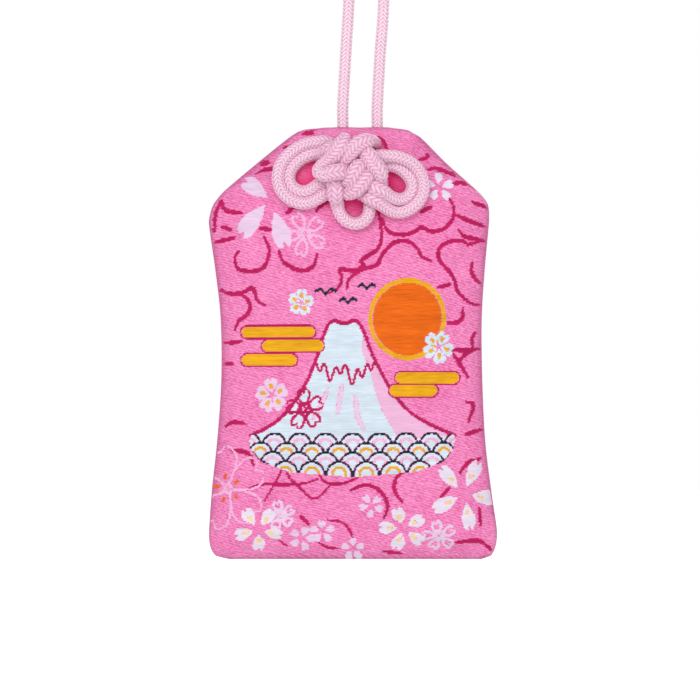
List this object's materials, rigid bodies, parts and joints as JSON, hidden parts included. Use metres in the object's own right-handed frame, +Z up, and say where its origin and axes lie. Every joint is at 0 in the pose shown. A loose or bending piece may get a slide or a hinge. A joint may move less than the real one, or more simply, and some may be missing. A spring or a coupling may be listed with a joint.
{
  "type": "omamori charm",
  "caption": "Padded brocade amulet pouch with sloped shoulders, an ornamental double-loop knot on its front, and a hanging cord loop tied off at the top.",
  "frame": {"origin": "the hang point, inside the cord loop just under its end knot", "axes": "+Z up, +X to the right as seen from the front, +Y to the back, so the front faces -Y"},
  "size_m": [0.0498, 0.0167, 0.1536],
  "materials": {
    "brocade": "woven satin ground with figured weft",
    "interlining": "plain cotton",
    "wadding": "soft felted fibre",
    "paper": "matt handmade paper",
    "card": "plain pulp card",
    "thread": "sewing thread",
    "cord": "braided, slightly lustrous"
  },
  "bodies": {
    "hanger": {"end_knot_left": "cord", "end_knot_right": "cord"},
    "strands": {"left_strand": "cord", "right_strand": "cord"},
    "pouch": {"front_panel": "brocade", "back_panel": "brocade", "front_interlining": "interlining", "back_interlining": "interlining", "wadding": "wadding", "slip_wrapper": "paper", "prayer_slip": "paper", "stiffener_card": "card", "seam_thread": "thread", "ornamental_knot": "cord"}
  },
  "joints": [
    {"name": "cord_twist", "type": "hinge", "parent": "hanger", "child": "strands", "pos_m": [0, 0, -0.003], "axis": [0, 0, 1], "range_deg": [-90, 90]},
    {"name": "pouch_swing", "type": "hinge", "parent": "strands", "child": "pouch", "pos_m": [0, 0, -0.0567], "axis": [1, 0, 0], "range_deg": [-90, 90]}
  ]
}
